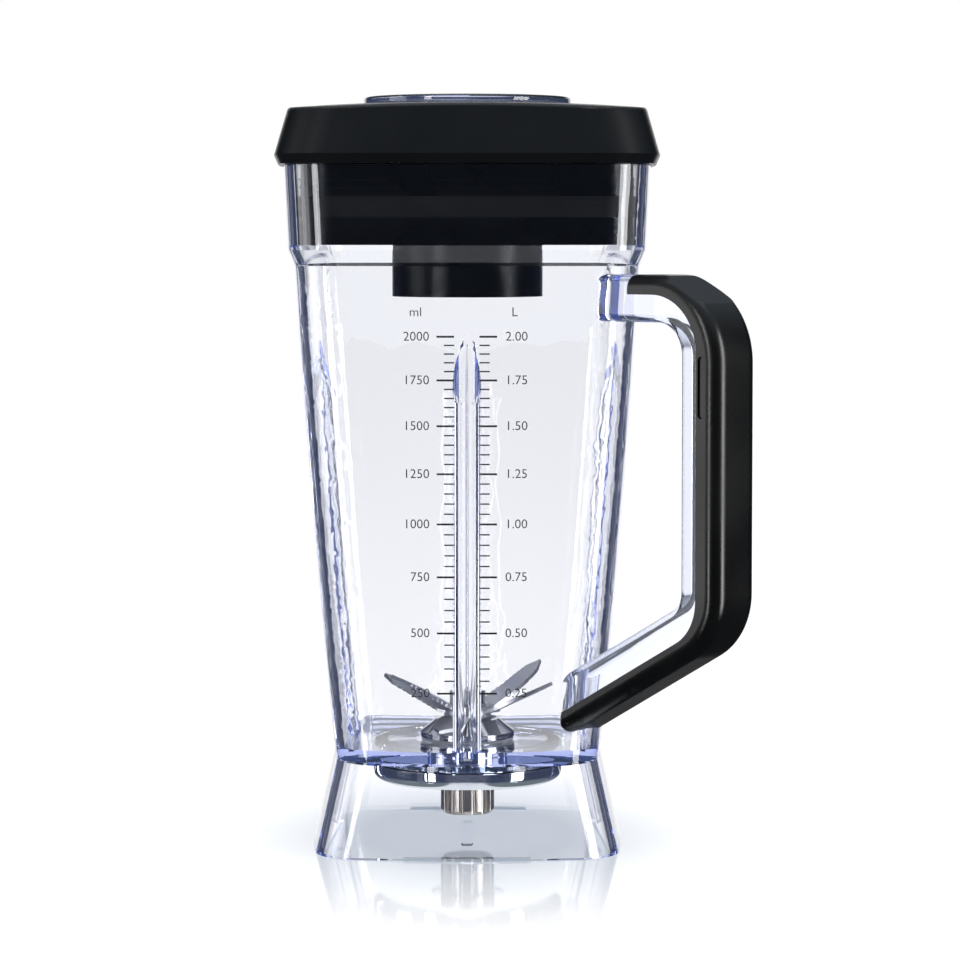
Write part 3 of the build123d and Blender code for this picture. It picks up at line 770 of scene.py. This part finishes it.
# %% Room and choice
room_dark = (0.015, 0.017, 0.022, 1.0)
room_high = (0.42, 0.48, 0.54, 1.0)
ceiling_band = (0.3, 0.8)
behind_band = (0.86, 0.95)
wall_top_band = (0.40, 0.25)
behind = tent_math("MULTIPLY", tent_step(away, *behind_band), tent_step(up, *wall_top_band))
room = tent_mix(tent_step(up, *ceiling_band), room_dark, room_high)
room = tent_mix(behind, room, tent_white)
went_through = at_least(1, "Transmission Depth")
plain = tent_mix(went_through, tent_white, through)
mirrored = tent_mix(went_through, room, turned_back)
seen = tent_mix(at_least(1, "Glossy Depth"), plain, mirrored)
scattered = at_least(1, "Diffuse Depth")
lit = tent_math("MAXIMUM", tent_path.outputs["Is Camera Ray"], scattered)
backdrop = set_sockets(tent.nodes["Background"], {"Strength": 1.0})
tent.links.new(tent_mix(lit, seen, tent_white), backdrop.inputs["Color"])
print("nodes in the tent:", len(tent.nodes))

# %% [markdown]
# ## The table top
# The jar stands on a glossy white table top, which mirrors it faintly. Its brightness comes
# from a white emission. Under the jar, a painted shade makes that emission darker and bluish.
# Both the gloss and the painted shade fade with the distance from the drive axis.
# The painted shade is deeper than it is wide, so the distance across is stretched first.
# What mirrored light would see of the table is left to the tent, so mirrored rays pass
# through the table top.

# %% Table top
table_size = 12.0
table_gap = 0.0002
table_values = {
    "Base Color": (0.42, 0.42, 0.42, 1.0),
    "Roughness": 0.05,
    "IOR": 1.85,
    "Emission Strength": 0.62,
}
table_stretch = (1.45, 1.0, 1.0)
gloss_fade = {"From Min": 0.06, "From Max": 0.26, "To Min": 0.5, "To Max": 0.0}
painted_shade_band = {"From Min": 0.06, "From Max": 0.20}
# Painted shade: the colour of the table's emission close under the jar.
painted_shade_colour = (0.20, 0.26, 0.34, 1.0)
mirrored_once = 0.5
table = bmesh.new()
bmesh.ops.create_grid(table, x_segments=1, y_segments=1, size=table_size / 2)
table_mesh = bpy.data.meshes.new("table_top")
table.to_mesh(table_mesh)
table.free()
table_top = bpy.data.objects.new("table_top", table_mesh)
table_top.location.z = -table_gap
scene.collection.objects.link(table_top)
table_white, table_tree, table_shader = new_finish("table white", table_values)
table_mesh.materials.append(table_white)
table_place = add_node(table_tree, "ShaderNodeTexCoord")
table_wide = add_node(table_tree, "ShaderNodeVectorMath", {"operation": "MULTIPLY"})
table_wide.inputs[1].default_value = table_stretch
table_reach = add_node(table_tree, "ShaderNodeVectorMath", {"operation": "LENGTH"})
table_gloss = add_node(table_tree, "ShaderNodeMapRange", None, gloss_fade)
painted_shade_ramp = add_node(table_tree, "ShaderNodeMapRange", None, painted_shade_band)
table_tree.links.new(table_place.outputs["Object"], table_wide.inputs[0])
table_tree.links.new(table_wide.outputs["Vector"], table_reach.inputs[0])
for fade in (table_gloss, painted_shade_ramp):
    table_tree.links.new(table_reach.outputs["Value"], fade.inputs["Value"])
table_tree.links.new(table_gloss.outputs["Result"], table_shader.inputs["Specular IOR Level"])
# Painted shade under the jar: the emission turns darker and bluish near the drive axis.
emission_with_painted_shade = mix_colours(table_tree, painted_shade_ramp.outputs["Result"], painted_shade_colour, tent_white)
table_tree.links.new(emission_with_painted_shade, table_shader.inputs["Emission Color"])
table_path = add_node(table_tree, "ShaderNodeLightPath")
table_unseen = add_node(table_tree, "ShaderNodeMath", {"operation": "GREATER_THAN"})
table_unseen.inputs[1].default_value = mirrored_once
table_clear = add_node(table_tree, "ShaderNodeBsdfTransparent")
table_choice = add_node(table_tree, "ShaderNodeMixShader")
table_tree.links.new(table_path.outputs["Glossy Depth"], table_unseen.inputs[0])
for index, source in enumerate((table_unseen, table_shader, table_clear)):
    table_tree.links.new(source.outputs[0], table_choice.inputs[index])
table_output = table_tree.nodes["Material Output"]
table_tree.links.new(table_choice.outputs[0], table_output.inputs["Surface"])
print("table top:", table_size, "m wide")

# %% [markdown]
# ## Softboxes
# Two tall softboxes in front, left and right, give the black and chromed pieces their
# highlights. A third at the far left lights the side, and a wide one above
# keeps the table top white.

# %% Softboxes
jar_middle = Vector((0.0, 0.0, 0.15))
softboxes = {  # name: place, width and height in metres, watts
    "softbox_side": ((-1.4, -0.2, 0.35), 0.6, 1.1, 4.0),
    "softbox_left": ((-0.95, -1.0, 0.20), 0.2, 1.4, 8.0),
    "softbox_right": ((1.20, -0.65, 0.20), 0.45, 1.4, 18.0),
    "softbox_top": ((0.0, 0.0, 1.9), 1.6, 1.6, 8.0),
}
for name, (place, width, height, watts) in softboxes.items():
    light = bpy.data.lights.new(name, "AREA")
    light.shape = "RECTANGLE"
    light.size = width
    light.size_y = height
    light.energy = watts
    lamp = bpy.data.objects.new(name, light)
    lamp.location = place
    lamp.rotation_euler = (jar_middle - Vector(place)).to_track_quat("-Z", "Y").to_euler()
    lamp.visible_camera = False
    scene.collection.objects.link(lamp)

# %% [markdown]
# ## The camera
# The jar was taken with a long lens from just below the height of the lid: the lid's top
# is a thin line, while the floor of the jar shows as a flat oval. Upright edges
# all but stay upright, so the lens looks down by three degrees only, and a small shift
# of the frame does the rest. A larger shift would push the jar out of other views.
# Light may turn often inside clear plastic, so its paths may be long.

# %% Camera
picture_width = 960
focal_pixels = 3362.7
sensor_width = 36.0
eye = (0.0050, -1.3395, 0.2403)
look_down_deg = 3.1748
frame_drop = 60.0
farthest_seen = 50.0
longest_path = 40
camera = bpy.data.cameras.new("camera")
camera.sensor_width = sensor_width
camera.lens = focal_pixels / picture_width * sensor_width
camera.shift_y = -frame_drop / picture_width
camera.clip_end = farthest_seen
viewer = bpy.data.objects.new("camera", camera)
viewer.location = eye
viewer.rotation_euler = (math.radians(90.0 - look_down_deg), 0.0, 0.0)
scene.collection.objects.link(viewer)
scene.camera = viewer
scene.view_settings.view_transform = "Standard"
scene.cycles.max_bounces = longest_path
scene.cycles.transmission_bounces = longest_path
scene.cycles.glossy_bounces = longest_path
print("lens:", round(camera.lens, 1), "mm")
